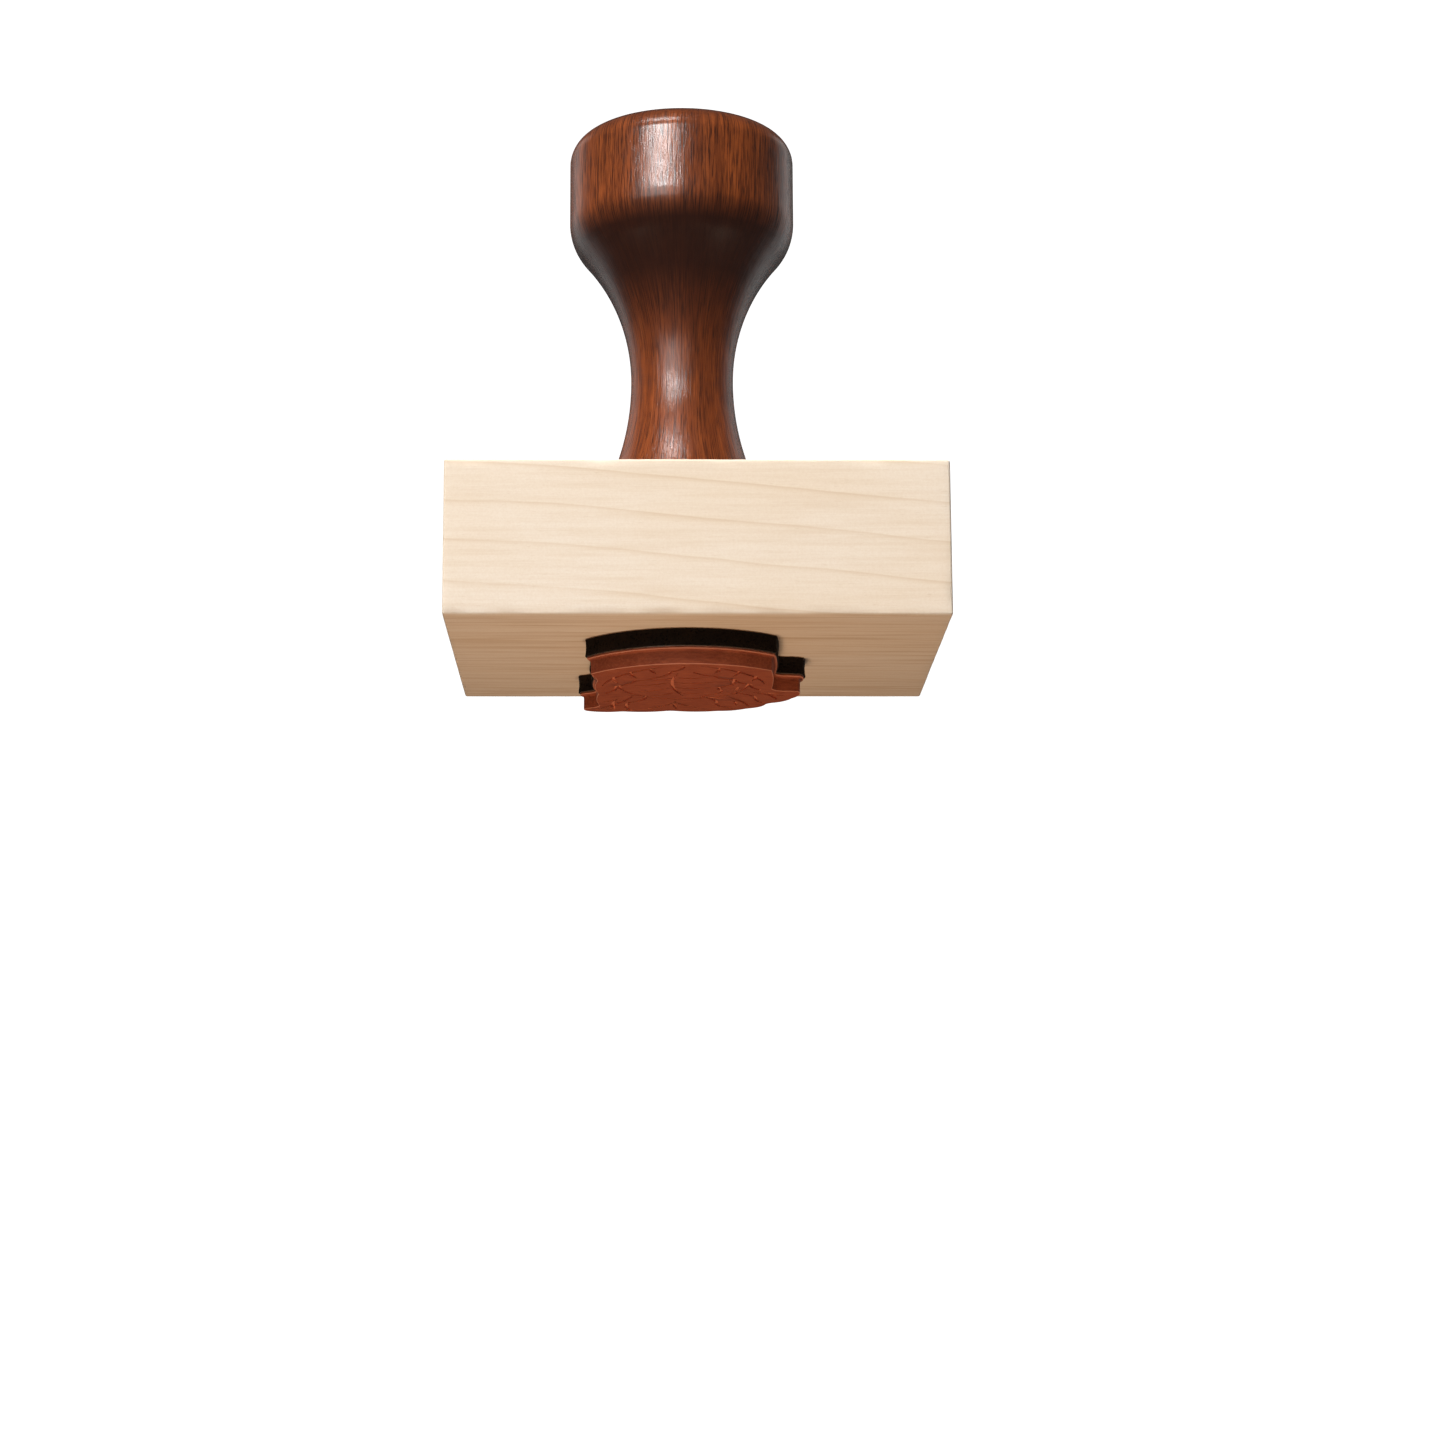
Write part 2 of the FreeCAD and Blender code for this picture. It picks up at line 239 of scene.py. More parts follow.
die_low, die_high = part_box("rubber_die")
die_mesh = merged_copy("rubber_die")
die_rounds = die_mesh.edges.layers.float.new("bevel_weight_edge")
for edge in die_mesh.edges:
    if edge.is_manifold and edge.calc_face_angle() > DIE_CORNER:
        heights = [vertex.co.z for vertex in edge.verts]
        wall_top = max(vertex.co.z for face in edge.link_faces for vertex in face.verts)
        # the outline's wall is tall, and the walls of the cut lines are not
        if max(heights) < die_low.z + LEVEL and wall_top > die_low.z + WALL_REACH:
            edge[die_rounds] = DIE_EDGE_ROUND / DIE_LIP_ROUND
        elif min(heights) > die_high.z - LIP_REACH and abs(heights[0] - heights[1]) < LEVEL:
            edge[die_rounds] = 1.0
die = new_piece("rubber_die_engraved", die_mesh, rubber_finish())
rounding = die.modifiers.new("rounding", "BEVEL")
rounding.limit_method = "WEIGHT"
rounding.width = DIE_LIP_ROUND
rounding.segments = DIE_ROUND_STEPS
rounding.use_clamp_overlap = False
die = baked(die)
for mark in ("worn_edge", "cut_line"):
    die.data.attributes.new(mark, "FLOAT", "FACE")
worn_edge, cut_line = (die.data.attributes[mark] for mark in ("worn_edge", "cut_line"))
# faces on the rounded edges of the outline and lip get the painted highlight
for face in die.data.polygons:
    slant = abs(face.normal.z)
    low_down = face.center.z < die_low.z + DIE_EDGE_ROUND
    high_up = face.center.z > die_high.z - LIP_HIGHLIGHT_REACH
    worn_edge.data[face.index].value = float(0.1 < slant < 0.995 and (low_down or high_up))
    # faces inside the cut lines get painted light that lifts their shade
    in_line = DIE_EDGE_ROUND < face.center.z - die_low.z < LINE_REACH
    cut_line.data[face.index].value = float(in_line)
shade_smooth(die, DIE_CRISP_ANGLE)
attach(die, "die")
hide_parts("rubber_die")


# ---- Adhesive films -----------------------------------------------------------------------------
# Two clear films coated with acrylic glue, one on each side of the cushion, cut with it. Only
# their edges show, as a thin yellowish line that has picked up dust and fibres.
GLUE_CLEAR = (0.34, 0.21, 0.13)
GLUE_DUSTY = (0.16, 0.10, 0.065)
GLUE_DUST = 0.5 * MM
GLUE_STRING = 0.2 * MM


def glue_finish():
    """A clear glue's cut edge, with dust in it and drawn out in strings along X."""
    finish, tree, shader, place = new_finish("clear_glue")
    dust = grains(tree, place, GLUE_DUST, detail=5)
    strings = grains(tree, moved(tree, place, scale=(0.2, 1, 1)), GLUE_STRING)
    colour = tinted(tree, between(tree, dust, 0.45, 0.7), GLUE_CLEAR, GLUE_DUSTY)
    tree.links.new(colour, shader.inputs["Base Color"])
    tree.links.new(between(tree, strings, 0.3, 0.7, 0.25, 0.55), shader.inputs["Roughness"])
    relief(tree, shader, strings, 0.01 * MM)
    return finish


glue = glue_finish()
for film in ("die_adhesive_film", "block_adhesive_film"):
    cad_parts[film].data.materials.clear()
    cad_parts[film].data.materials.append(glue)


# ---- Foam cushion -------------------------------------------------------------------------------
# Closed-cell sponge rubber, nearly black, die-cut to the outline: the knife leaves open cells all
# over its wall, and the wall draws in a little between its two glued faces.
CELL = 0.34 * MM
CELL_DEPTH = 0.10 * MM
CELL_SEED = 4.0
WAIST = 0.10 * MM
WALL_STEP = 0.085 * MM
SPONGE_BLACK = (0.0085, 0.0050, 0.0030)
SPONGE_CELL_SHADE = (0.003, 0.002, 0.0015)
SPONGE_DUST = (0.050, 0.026, 0.015)
SPONGE_SPECK = 0.22 * MM
SPONGE_DUST_PATCH = 2.5 * MM
OUTLINE_CORNER = math.radians(45)
NORMAL_SPAN = 3
PIT_RIM = 0.52
PIT_FLOOR = 0.18
WALL_TILT = 0.4
FOAM_CRISP_ANGLE = 50
foam_low, foam_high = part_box("foam_cushion")


def outline_of(node, step):
    """The outline of a flat CAD node's lower face, as points about step apart."""
    mesh = merged_copy(node)
    low = min(vertex.co.z for vertex in mesh.verts)
    rim = {}
    for edge in mesh.edges:
        level = all(vertex.co.z < low + LEVEL for vertex in edge.verts)
        if level and edge.calc_face_angle(0) > OUTLINE_CORNER:
            first, last = edge.verts
            rim.setdefault(first.index, []).append(last.index)
            rim.setdefault(last.index, []).append(first.index)
    mesh.verts.ensure_lookup_table()
    start = here = min(rim)
    came_from = None
    corners = []
    while here != start or not corners:
        corners.append(mesh.verts[here].co.to_2d())
        onward = [index for index in rim[here] if index != came_from]
        came_from, here = here, onward[0]
    mesh.free()
    points = []
    for first, last in zip(corners, corners[1:] + corners[:1]):
        count = max(1, round((last - first).length / step))
        points += [first.lerp(last, share / count) for share in range(count)]
    area = sum(p.cross(q) for p, q in zip(points, points[1:] + points[:1]))
    return points if area > 0 else points[::-1]


def sponge_finish():
    """Matt black sponge, with painted shade in its open cells and brown dust in patches."""
    finish, tree, shader, place = new_finish("sponge_rubber")
    cell = add(tree, "ShaderNodeAttribute", {"attribute_name": "open_cell"}).outputs["Fac"]
    specks = grains(tree, place, SPONGE_SPECK, detail=3)
    dust = grains(tree, place, SPONGE_DUST_PATCH, detail=5)
    # painted shade: the deeper a point lies in an open cell, the darker it is painted
    colour = tinted(tree, cell, SPONGE_BLACK, SPONGE_CELL_SHADE)
    dusty = maths(tree, "MULTIPLY", between(tree, dust, 0.5, 0.75, 0.0, 0.5), specks)
    colour = tinted(tree, dusty, colour, SPONGE_DUST)
    tree.links.new(colour, shader.inputs["Base Color"])
    tree.links.new(between(tree, specks, 0.3, 0.7, 0.70, 0.92), shader.inputs["Roughness"])
    shader.inputs["Specular IOR Level"].default_value = 0.15
    relief(tree, shader, specks, 0.02 * MM)
    return finish


def new_tree(name, sizes):
    """A geometry tree with its geometry sockets and named inputs, each (name, kind)."""
    tree = bpy.data.node_groups.new(name, "GeometryNodeTree")
    tree.interface.new_socket("Geometry", in_out="INPUT", socket_type="NodeSocketGeometry")
    for label, kind in sizes:
        tree.interface.new_socket(label, in_out="INPUT", socket_type=f"NodeSocket{kind}")
    tree.interface.new_socket("Geometry", in_out="OUTPUT", socket_type="NodeSocketGeometry")
    return tree, tree.nodes.new("NodeGroupInput").outputs


def close_tree(tree, geometry, finish):
    """Ends a tree: instances made real, then the finish laid on."""
    real = add(tree, "GeometryNodeRealizeInstances", inputs={0: geometry}).outputs[0]
    laid = add(tree, "GeometryNodeSetMaterial", inputs={"Geometry": real, "Material": finish})
    add(tree, "NodeGroupOutput", inputs={0: laid.outputs[0]})


def run_tree(piece, tree, values):
    """Runs the tree on the piece with its inputs set by name, and returns a plain mesh piece."""
    modifier = piece.modifiers.new(tree.name, "NODES")
    modifier.node_group = tree
    for item in tree.interface.items_tree:
        if item.in_out == "INPUT" and item.name in values:
            modifier[item.identifier] = values[item.name]
    return baked(piece)


def open_cells_tree(finish):
    """Pushes round pits into the wall, and stores how deep each point lies."""
    sizes = [("Cell Size", "Float"), ("Depth", "Float"), ("Seed", "Float")]
    tree, inputs = new_tree("open_cells", sizes)
    place = add(tree, "GeometryNodeInputPosition").outputs[0]
    density = maths(tree, "DIVIDE", 1.0, inputs["Cell Size"])
    cells = add(
        tree, "ShaderNodeTexVoronoi", {"voronoi_dimensions": "4D"},
        {"Vector": place, "W": inputs["Seed"], "Scale": density, "Randomness": 1.0},
    )
    hollow = add(
        tree, "ShaderNodeMapRange", {"interpolation_type": "SMOOTHSTEP"},
        {"Value": cells.outputs["Distance"], 1: PIT_FLOOR, 2: PIT_RIM, 3: 1.0, 4: 0.0},
    ).outputs[0]
    normal = add(tree, "GeometryNodeInputNormal").outputs[0]
    level = add(tree, "ShaderNodeSeparateXYZ", inputs={0: normal}).outputs["Z"]
    upright = maths(tree, "ABSOLUTE", level, 0.0)
    limit = {0: upright, 1: WALL_TILT}
    on_wall = add(tree, "FunctionNodeCompare", {"operation": "LESS_THAN"}, limit)
    inward = maths(tree, "MULTIPLY", maths(tree, "MULTIPLY", hollow, inputs["Depth"]), -1.0)
    push = scaled(tree, normal, inward)
    stored = add(
        tree, "GeometryNodeStoreNamedAttribute", {"data_type": "FLOAT", "domain": "POINT"},
        {"Geometry": inputs["Geometry"], "Name": "open_cell", "Value": hollow},
    )
    pitted = add(
        tree, "GeometryNodeSetPosition",
        inputs={0: stored.outputs[0], "Selection": on_wall.outputs[0], "Offset": push},
    )
    close_tree(tree, pitted.outputs[0], finish)
    return tree


foam_outline = outline_of("foam_cushion", WALL_STEP)
foam_rows = round((foam_high.z - foam_low.z) / WALL_STEP)
foam_mesh = bmesh.new()
rings = []
for row in range(foam_rows + 1):
    share = row / foam_rows
    draw_in = WAIST * math.sin(math.pi * share)
    ring = []
    for index, point in enumerate(foam_outline):
        ahead = foam_outline[(index + NORMAL_SPAN) % len(foam_outline)]
        along = ahead - foam_outline[index - NORMAL_SPAN]
        inward = Vector((-along.y, along.x)).normalized()
        at = point + inward * draw_in
        ring.append(foam_mesh.verts.new((*at, foam_low.z + share * (foam_high.z - foam_low.z))))
    rings.append(ring)
for lower, upper in zip(rings, rings[1:]):
    for index in range(len(lower)):
        behind = index - 1
        foam_mesh.faces.new((lower[behind], lower[index], upper[index], upper[behind]))
foam_mesh.faces.new(rings[0][::-1])
foam_mesh.faces.new(rings[-1])
sponge = sponge_finish()
foam = new_piece("foam_cushion_cut", foam_mesh)
cells = {"Cell Size": CELL, "Depth": CELL_DEPTH, "Seed": CELL_SEED}
foam = run_tree(foam, open_cells_tree(sponge), cells)
shade_smooth(foam, FOAM_CRISP_ANGLE)
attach(foam, "die")
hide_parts("foam_cushion")
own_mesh(foam)


# ---- Maple block --------------------------------------------------------------------------------
# A block of bare hard maple, its grain along X. It is sanded, except that the underside keeps fine
# saw lines, and every edge is eased by hand, so that none is quite even. It is bored from above
# for the dowel screw.
EASED_EDGE = 0.35 * MM
EASED_STEPS = 4
SEAM_MERGE = 0.005 * MM
SANDING_STEP = 1.1 * MM
BORE_SEGMENTS = 48
SANDING_WAVE = 0.025 * MM
SANDING_WAVELENGTH = 11 * MM
EDGE_NIBBLE = 0.07 * MM
NIBBLE_WAVELENGTH = 3.5 * MM
NIBBLE_SHIFT = Vector((7, 3, 5))
FACE_SQUARENESS = 0.99
BORE_CLEARANCE = 1 * MM
MAPLE_PALE = (0.800, 0.690, 0.570)
MAPLE_WARM = (0.775, 0.645, 0.505)
MAPLE_RING = (0.640, 0.465, 0.300)
MAPLE_PORE = (0.520, 0.350, 0.205)
MAPLE_END = (0.640, 0.480, 0.330)
RING_WIDTH = 3.4 * MM
GRAIN_RISE = math.radians(4.7)
PITH_BEHIND = 70 * MM
PITH_BELOW = 65 * MM
FIBRE = 0.7 * MM
FINE_FIBRE = 0.14 * MM
MAPLE_CLOUD = 14 * MM
VESSEL = 0.17 * MM
SPECKLE = 0.28 * MM
SAW_LINE = 1.0 * MM
WOOD_CRISP_ANGLE = 40
block_low, block_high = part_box("mount_block")


def maple_finish():
    """Bare sanded maple: growth rings, fibres, pores, saw lines below and darker cut ends."""
    finish, tree, shader, place = new_finish("sanded_maple")
    # growth rings are cylinders about a pith that lies behind and below, rising to the left
    ringed = moved(tree, place, turn=(0, -GRAIN_RISE, 0), shift=(0, -PITH_BEHIND, PITH_BELOW))
    wave = add(
        tree, "ShaderNodeTexWave",
        {"wave_type": "RINGS", "rings_direction": "X", "wave_profile": "SAW"},
        {"Vector": ringed, "Scale": math.pi / 10 / RING_WIDTH, "Distortion": 1.6, "Detail": 3.0,
         "Detail Scale": 0.30, "Detail Roughness": 0.45},
    ).outputs["Fac"]
    rising = between(tree, wave, 0.74, 0.945)
    falling = between(tree, wave, 0.950, 1.0, 1.0, 0.0)
    late_wood = maths(tree, "MULTIPLY", rising, falling)
    late_wood = maths(tree, "POWER", late_wood, 3.0)
    along = moved(tree, place, scale=(0.045, 1, 1), turn=(0, -GRAIN_RISE, 0))
    fibres = grains(tree, along, FIBRE, detail=5, roughness=0.65)
    fine_fibres = grains(tree, along, FINE_FIBRE, detail=3)
    cloud = grains(tree, moved(tree, place, scale=(0.35, 1, 1)), MAPLE_CLOUD, detail=4)
    pores = grains(tree, moved(tree, place, scale=(0.10, 1, 1)), VESSEL, detail=1)
    speckle = grains(tree, place, SPECKLE, detail=2)
    colour = tinted(tree, between(tree, cloud, 0.35, 0.68), MAPLE_PALE, MAPLE_WARM)
    colour = tinted(tree, between(tree, fibres, 0.42, 0.70, 0.0, 0.32), colour, MAPLE_RING)
    fading = between(tree, cloud, 0.30, 0.60, 0.28, 0.66)
    colour = tinted(tree, maths(tree, "MULTIPLY", late_wood, fading), colour, MAPLE_RING)
    colour = tinted(tree, between(tree, pores, 0.66, 0.80, 0.0, 0.35), colour, MAPLE_PORE)
    colour = tinted(tree, between(tree, speckle, 0.38, 0.66, 0.0, 0.16), colour, MAPLE_RING)
    # the saw's fine lines are left on the underside
    facing = add(tree, "ShaderNodeTexCoord").outputs["Normal"]
    facing = add(tree, "ShaderNodeSeparateXYZ", inputs={0: facing}).outputs
    sawn = grains(tree, moved(tree, place, scale=(0.03, 1, 1)), SAW_LINE, detail=5, roughness=0.7)
    sawn = between(tree, sawn, 0.48, 0.66, 0.0, 0.55)
    underneath = between(tree, facing["Z"], -0.9, -0.6, 1.0, 0.0)
    colour = tinted(tree, maths(tree, "MULTIPLY", sawn, underneath), colour, MAPLE_PORE)
    # cut ends drink in light: they look darker than the sides
    end_on = maths(tree, "ABSOLUTE", facing["X"], 0.0)
    colour = tinted(tree, between(tree, end_on, 0.75, 1.0, 0.0, 0.45), colour, MAPLE_END)
    tree.links.new(colour, shader.inputs["Base Color"])
    tree.links.new(between(tree, fine_fibres, 0.3, 0.7, 0.50, 0.66), shader.inputs["Roughness"])
    shader.inputs["Specular IOR Level"].default_value = 0.30
    low = relief(tree, shader, fine_fibres, 0.012 * MM)
    relief(tree, shader, speckle, 0.006 * MM, low)
    return finish


def stations(half, radius):
    """Along one axis: where the flat runs, then the quarter-round's slant, as (place, slant)."""
    flat = half - radius
    count = math.ceil(2 * flat / SANDING_STEP)
    steps = [math.tan(math.radians(45) * step / EASED_STEPS) for step in range(1, EASED_STEPS + 1)]
    ends = [(-flat, -slant) for slant in reversed(steps)]
    middle = [(-flat + 2 * flat * step / count, 0.0) for step in range(count + 1)]
    return ends + middle + [(flat, slant) for slant in steps]


def eased_block(low, high, radius):
    """A box whose edges are rounded, in rows of small faces."""
    centre = (low + high) / 2
    half = (high - low) / 2
    mesh = bmesh.new()
    for axis in range(3):
        across, up = (axis + 1) % 3, (axis + 2) % 3
        for side in (-1, 1):
            rows = []
            for at_u, slant_u in stations(half[across], radius):
                row = []
                for at_v, slant_v in stations(half[up], radius):
                    inner = Vector((0, 0, 0))
                    out = Vector((0, 0, 0))
                    inner[axis], inner[across], inner[up] = side * (half[axis] - radius), at_u, at_v
                    out[axis], out[across], out[up] = side, slant_u, slant_v
                    row.append(mesh.verts.new(centre + inner + out.normalized() * radius))
                rows.append(row)
            for one, other in zip(rows, rows[1:]):
                for index in range(len(one) - 1):
                    corners = [one[index], other[index], other[index + 1], one[index + 1]]
                    mesh.faces.new(corners if side > 0 else corners[::-1])
    bmesh.ops.remove_doubles(mesh, verts=mesh.verts, dist=SEAM_MERGE)
    bmesh.ops.recalc_face_normals(mesh, faces=mesh.faces)
    return mesh


block_mesh = eased_block(block_low, block_high, EASED_EDGE)
block_mesh.normal_update()
for vertex in block_mesh.verts:
    out = vertex.normal.copy()
    wave = 0.5 + 0.5 * noise.noise(vertex.co / SANDING_WAVELENGTH)
    nibble = 0.0
    if max(abs(out.x), abs(out.y), abs(out.z)) < FACE_SQUARENESS:
        nibble = max(0.0, noise.noise(vertex.co / NIBBLE_WAVELENGTH + NIBBLE_SHIFT))
    vertex.co -= out * (SANDING_WAVE * wave + EDGE_NIBBLE * nibble)
block = new_piece("maple_block", block_mesh, maple_finish())
screw_low, screw_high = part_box("handle_dowel_screw")
bore_radius = (screw_high.x - screw_low.x) / 2
screw_middle_x = (screw_high.x + screw_low.x) / 2
bore_mesh = bmesh.new()
bore_rings = []
for z in (screw_low.z + bore_radius, block_high.z + BORE_CLEARANCE):
    ring = []
    for step in range(BORE_SEGMENTS):
        turn = 2 * math.pi * step / BORE_SEGMENTS
        at = (screw_middle_x + bore_radius * math.cos(turn), bore_radius * math.sin(turn), z)
        ring.append(bore_mesh.verts.new(at))
    bore_rings.append(ring)
bore_tip = bore_mesh.verts.new((screw_middle_x, 0, screw_low.z))
for behind in range(-1, BORE_SEGMENTS - 1):
    ahead = behind + 1
    lower, upper = bore_rings
    bore_mesh.faces.new((lower[behind], lower[ahead], upper[ahead], upper[behind]))
    bore_mesh.faces.new((bore_tip, lower[ahead], lower[behind]))
bore_mesh.faces.new(bore_rings[1])
bore = new_piece("bore", bore_mesh)
boring = block.modifiers.new("boring", "BOOLEAN")
boring.operation = "DIFFERENCE"
boring.solver = "EXACT"
boring.object = bore
block = baked(block)
bpy.data.objects.remove(bore)
shade_smooth(block, WOOD_CRISP_ANGLE)
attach(block, "mount")
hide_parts("mount_block")


# ---- Dowel screw --------------------------------------------------------------------------------
# Zinc-plated steel, pointed and threaded at both ends, with a plain shank in the joint between
# the block and the handle. It is out of sight once the stamp is together.
ZINC_BRIGHT = (0.66, 0.66, 0.64)
ZINC_DULL = (0.40, 0.40, 0.39)
ZINC_SPANGLE = 0.9 * MM
DRAWN_LINE = 1.2 * MM


def zinc_finish():
    """Bright zinc with a faint spangle and rings from the drawing die."""
    finish, tree, shader, place = new_finish("zinc_plated_steel")
    spangle = grains(tree, place, ZINC_SPANGLE, detail=4)
    drawn = grains(tree, moved(tree, place, scale=(1, 1, 12)), DRAWN_LINE)
    colour = tinted(tree, between(tree, spangle, 0.35, 0.7), ZINC_BRIGHT, ZINC_DULL)
    tree.links.new(colour, shader.inputs["Base Color"])
    shader.inputs["Metallic"].default_value = 1.0
    tree.links.new(between(tree, drawn, 0.3, 0.7, 0.22, 0.42), shader.inputs["Roughness"])
    relief(tree, shader, drawn, 0.008 * MM)
    return finish


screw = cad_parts["handle_dowel_screw"]
screw.data.materials.clear()
screw.data.materials.append(zinc_finish())


# ---- Turned handle ------------------------------------------------------------------------------
# Hardwood turned on a lathe in one piece: foot, neck and round knob. It is sanded, stained dark
# red-brown and varnished to a gloss, and its grain runs up the handle. It is bored from below.
NECK_RADIUS = 7.0 * MM
NECK_HEIGHT = 18.1 * MM
FOOT_BAND = 1.0 * MM
FOOT_EDGE = 0.5 * MM
FOOT_COVE = 35.9 * MM
NECK_COVE = 27.2 * MM
HEEL_RADIUS = 8.0 * MM
SHOULDER_RADIUS = 3.5 * MM
CROWN_RADIUS = 60.0 * MM
TURNING_SEGMENTS = 224
PROFILE_STEP = 0.25 * MM
TOOL_MARK = 0.006 * MM
TOOL_PITCH = 0.45 * MM
TOOL_SEED = 2.0
TOOL_WOBBLE = 6 * MM
TURNING_MERGE = 0.004 * MM
GRAIN_LEAN = (math.radians(0.8), math.radians(-0.6), 0)
GRAIN_LINE = 0.20 * MM
GRAIN_HAIR = 0.14 * MM
GRAIN_STREAK = 1.7 * MM
GRAIN_BAND = 6 * MM
END_PORE = 0.30 * MM
VARNISH_SMEAR = 3 * MM
VARNISH_RIPPLE = 1.1 * MM
STAIN_BRIGHT = (0.305, 0.071, 0.0150)
STAIN_MIDDLE = (0.205, 0.044, 0.009)
STAIN_DARK = (0.032, 0.007, 0.0025)
STAIN_PORE = (0.016, 0.004, 0.002)
handle_low, handle_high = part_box("handle")
handle_x = (handle_low.x + handle_high.x) / 2
handle_height = handle_high.z - handle_low.z
knob_radius = (handle_high.x - handle_low.x) / 2


def stain_finish():
    """Stained hardwood under gloss varnish, with its grain drawn round the turned surface."""
    finish, tree, shader, place = new_finish("stained_varnished_hardwood")
    centred = moved(tree, place, shift=(-handle_x, 0, -handle_low.z))
    # the lines of the grain are drawn round the handle and run up its surface
    parts = add(tree, "ShaderNodeSeparateXYZ", inputs={0: centred}).outputs
    flat = add(tree, "ShaderNodeCombineXYZ", inputs={"X": parts["X"], "Y": parts["Y"]}).outputs[0]
    turned = scaled(tree, vectors(tree, "NORMALIZE", flat), knob_radius)
    rise = add(tree, "ShaderNodeCombineXYZ", inputs={"Z": parts["Z"]}).outputs[0]
    round_it = moved(tree, vectors(tree, "ADD", turned, rise), turn=GRAIN_LEAN)

    def drawn_out(stretch, size, **settings):
        """Grain of that size across, drawn out up the handle."""
        return grains(tree, moved(tree, round_it, scale=(1, 1, stretch)), size, **settings)

    lines = drawn_out(0.032, GRAIN_LINE, detail=4, roughness=0.7)
    hairs = drawn_out(0.045, GRAIN_HAIR, detail=1)
    streaks = drawn_out(0.08, GRAIN_STREAK, detail=4)
    bands = drawn_out(0.15, GRAIN_BAND, detail=3)
    ends = grains(tree, centred, END_PORE, detail=3)
    # the crown cuts the grain across, and shows its ends: pores, and no lines
    facing = add(tree, "ShaderNodeTexCoord").outputs["Normal"]
    level = add(tree, "ShaderNodeSeparateXYZ", inputs={0: facing}).outputs["Z"]
    on_crown = between(tree, level, 0.55, 0.85)
    keep = maths(tree, "SUBTRACT", 1.0, on_crown)

    def by_cut(along, across):
        """The first value on the sides and the second on the crown."""
        on_sides = maths(tree, "MULTIPLY", along, keep)
        return maths(tree, "ADD", on_sides, maths(tree, "MULTIPLY", across, on_crown))

    grain = by_cut(lines, ends)
    streaks = by_cut(streaks, grains(tree, centred, GRAIN_STREAK, detail=4))
    bands = by_cut(bands, grains(tree, centred, GRAIN_BAND, detail=3))
    hairs = maths(tree, "MULTIPLY", hairs, keep)
    colour = tinted(tree, between(tree, streaks, 0.32, 0.68), STAIN_BRIGHT, STAIN_MIDDLE)
    colour = tinted(tree, between(tree, bands, 0.45, 0.72, 0.0, 0.40), colour, STAIN_DARK)
    colour = tinted(tree, between(tree, grain, 0.46, 0.60, 0.0, 0.78), colour, STAIN_DARK)
    colour = tinted(tree, between(tree, hairs, 0.53, 0.66, 0.0, 0.80), colour, STAIN_PORE)
    # stain soaks deeper where the turning cuts across the grain; the darkening under the knob and
    # on its shoulder is also painted shade
    soaked_and_shaded_under = between(tree, level, -0.50, -0.10, 0.94, 0.0)
    soaked_and_shaded_top = between(tree, level, 0.15, 0.80, 0.0, 0.80)
    colour = tinted(tree, maths(tree, "ADD", soaked_and_shaded_under, soaked_and_shaded_top), colour, STAIN_DARK)
    tree.links.new(colour, shader.inputs["Base Color"])
    shader.inputs["Roughness"].default_value = 0.5
    shader.inputs["Specular IOR Level"].default_value = 0.15
    shader.inputs["Coat Weight"].default_value = 1.0
    shader.inputs["Coat IOR"].default_value = 1.5
    smears = grains(tree, place, VARNISH_SMEAR, detail=4)
    tree.links.new(between(tree, smears, 0.3, 0.7, 0.14, 0.22), shader.inputs["Coat Roughness"])
    ripple = drawn_out(0.30, VARNISH_RIPPLE, detail=2)
    low = relief(tree, shader, lines, 0.026 * MM)
    high = relief(tree, shader, hairs, -0.012 * MM, low)
    top = relief(tree, shader, ripple, 0.035 * MM, high)
    tree.links.new(top, shader.inputs["Coat Normal"])
    return finish


def arc(centre, radius, start, end, step=3.0):
    """Points of an arc about (r, z) from one angle to another, in degrees, without its start."""
    count = max(2, math.ceil(abs(end - start) / step))
    angles = [math.radians(start + (end - start) * share / count) for share in range(1, count + 1)]
    return [(centre[0] + radius * math.cos(a), centre[1] + radius * math.sin(a)) for a in angles]


def turning_profile():
    """The handle's outline as (radius, height above the block), from the crown down to the foot."""
    crown_centre = handle_height - CROWN_RADIUS
    shoulder_r = knob_radius - SHOULDER_RADIUS
    reach = CROWN_RADIUS - SHOULDER_RADIUS
    shoulder_z = crown_centre + math.sqrt(reach ** 2 - shoulder_r ** 2)
    crown_edge = math.degrees(math.atan2(shoulder_z - crown_centre, shoulder_r))
    heel_r = knob_radius - HEEL_RADIUS
    cove_r = NECK_RADIUS + NECK_COVE
    heel_z = NECK_HEIGHT + math.sqrt((NECK_COVE + HEEL_RADIUS) ** 2 - (cove_r - heel_r) ** 2)
    heel_end = math.degrees(math.atan2(NECK_HEIGHT - heel_z, cove_r - heel_r))
    foot_end = -math.degrees(math.asin((NECK_HEIGHT - FOOT_BAND) / FOOT_COVE))
    points = [(0.0, handle_height)]
    points += arc((0, crown_centre), CROWN_RADIUS, 90, crown_edge, 0.8)
    points += arc((shoulder_r, shoulder_z), SHOULDER_RADIUS, crown_edge, 0, 4)
    points += arc((heel_r, heel_z), HEEL_RADIUS, 0, heel_end, 1.5)
    points += arc((cove_r, NECK_HEIGHT), NECK_COVE, 180 + heel_end, 180, 1.0)
    points += arc((NECK_RADIUS + FOOT_COVE, NECK_HEIGHT), FOOT_COVE, 180, 180 - foot_end, 1.0)
    foot_r = points[-1][0]
    points += arc((foot_r - FOOT_EDGE, FOOT_EDGE), FOOT_EDGE, 0, -90, 15)
    return points


